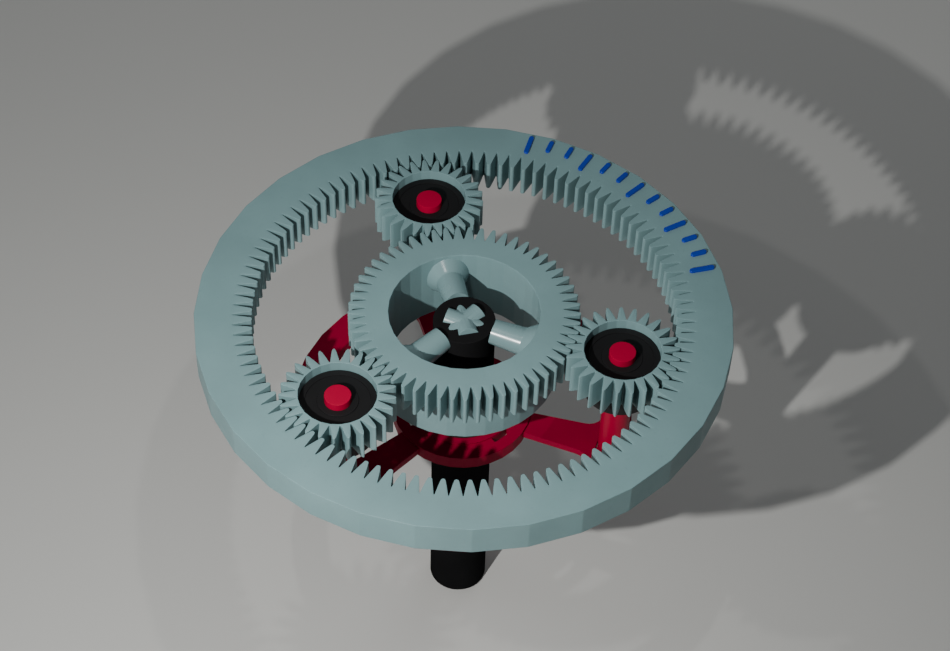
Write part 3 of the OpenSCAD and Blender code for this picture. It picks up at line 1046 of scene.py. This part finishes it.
def outer_race_mesh(node, planet):
    """Race with a step for the seal at each face. The upper one has a flange."""
    low, high = node_box(node)
    low_step, high_step = low.z + SEAL_SEAT_DEPTH, high.z - SEAL_SEAT_DEPTH
    outside = [(RACE_R, low.z), (RACE_R, high.z)]
    if "upper" in node:
        outside = [(RACE_R, low.z), (RACE_R, LIP_Z), (FLANGE_R, LIP_Z), (FLANGE_R, high.z)]
    inside = [(SEAL_SEAT_R, high.z), (SEAL_SEAT_R, high_step), (OUTER_LAND_R, high_step)]
    inside += reversed(ball_track((low.z + high.z) / 2, OUTER_LAND_R, 1))
    inside += [(OUTER_LAND_R, low_step), (SEAL_SEAT_R, low_step), (SEAL_SEAT_R, low.z)]
    return revolved_mesh(node + "_body", soften(outside + inside, RACE_EDGE), planet_centre(planet))


def inner_race_mesh(node, planet):
    low, high = node_box(node)
    profile = [(INNER_LAND_R, low.z)]
    profile += ball_track((low.z + high.z) / 2, INNER_LAND_R, -1)
    profile += [(INNER_LAND_R, high.z), (RACE_BORE_R, high.z), (RACE_BORE_R, low.z)]
    return revolved_mesh(node + "_body", soften(profile, RACE_EDGE), planet_centre(planet))


def seals_mesh(planet):
    """Four flat seals, a hair inside the races' faces."""
    shell = Shell()
    for level in LEVELS:
        low, high = node_box(f"{planet}_{level}_outer_race")
        for face, way in ((low.z + SEAL_SUNK, -1), (high.z - SEAL_SUNK, 1)):
            back = face - way * SEAL_T
            profile = [
                (SEAL_INNER_R, back), (SEAL_OUTER_R, back), (SEAL_OUTER_R, face), (SEAL_INNER_R, face),
            ]
            shell.revolve(soften(profile, SEAL_EDGE), planet_centre(planet))
    return shell.mesh(planet + "_seals_body")


# ---- Putting it together ----


def add_piece(name, data, body, nodes, material, sharp=40):
    """Piece that replaces CAD nodes. Edges that turn by more than sharp degrees stay crisp."""
    piece = bpy.data.objects.new(name, data)
    bpy.context.scene.collection.objects.link(piece)
    data.materials.clear()
    data.materials.append(material)
    data.polygons.foreach_set("use_smooth", [True] * len(data.polygons))
    data.set_sharp_from_angle(angle=math.radians(sharp))
    weighted = piece.modifiers.new("weighted", "WEIGHTED_NORMAL")
    weighted.keep_sharp = True
    weighted.weight = 80
    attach(piece, body)
    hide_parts(*nodes)
    return piece


def build_pieces(looks):
    def add(node, data, body, look, sharp=40):
        return add_piece(node + "_body", data, body, [node], looks[look], sharp)
    add("ring_gear", ring_gear_mesh(), "ring", "gear_grey")
    add("index_marks", index_marks_mesh(), "ring", "mark_blue")
    add("sun_gear", sun_gear_mesh(), "sun", "gear_grey")
    add("spoke_spider", spider_mesh(), "sun", "spider_grey", 30)
    add("drive_shaft", drive_shaft_mesh(), "sun", "shaft_black")
    for side in ("upper", "lower"):
        clip, washer = side + "_circlip", side + "_thrust_washer"
        add(clip, circlip_mesh(clip), "sun", "clip_steel")
        add(washer, washer_mesh(washer), "sun", "clip_steel")
    plate_data = carrier_mesh(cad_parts["carrier_plate"])
    plate = add("carrier_plate", plate_data, "carrier", "carrier_red", 30)
    round_edges(plate, CARRIER_EDGE, CARRIER_EDGE_ANGLE)
    add("carrier_bush", bush_mesh(), "carrier", "bush_polymer")
    for planet in PLANETS:
        pin, gear, seals = planet + "_pin", planet + "_planet_gear", planet + "_bearing_seals"
        body = planet + "_planet"
        add(pin, pin_mesh(planet), "carrier", "pin_red")
        add(gear, planet_gear_mesh(planet), body, "gear_grey")
        for level in LEVELS:
            build_bearing(planet, level, looks)
        add(seals, seals_mesh(planet), body, "seal_rubber")


def build_bearing(planet, level, looks):
    """One bearing's races, and the looks of its balls and cage, which stay the CAD's own shapes."""
    outer, inner = (f"{planet}_{level}_{ring}_race" for ring in ("outer", "inner"))
    for node, data, body in ((outer, outer_race_mesh(outer, planet), planet + "_planet"),
                             (inner, inner_race_mesh(inner, planet), "carrier")):
        add_piece(node + "_body", data, body, [node], looks[planet + "_race"])
    for kind, look in (("balls", "ball_steel"), ("cage", "cage_polymer")):
        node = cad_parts[f"{planet}_{level}_{kind}"]
        node.data.materials.clear()
        node.data.materials.append(looks[look])


add_camera()
add_world(DAYLIGHT, 0.1)
add_lights()
add_floor(floor_grey())
build_pieces(make_looks())
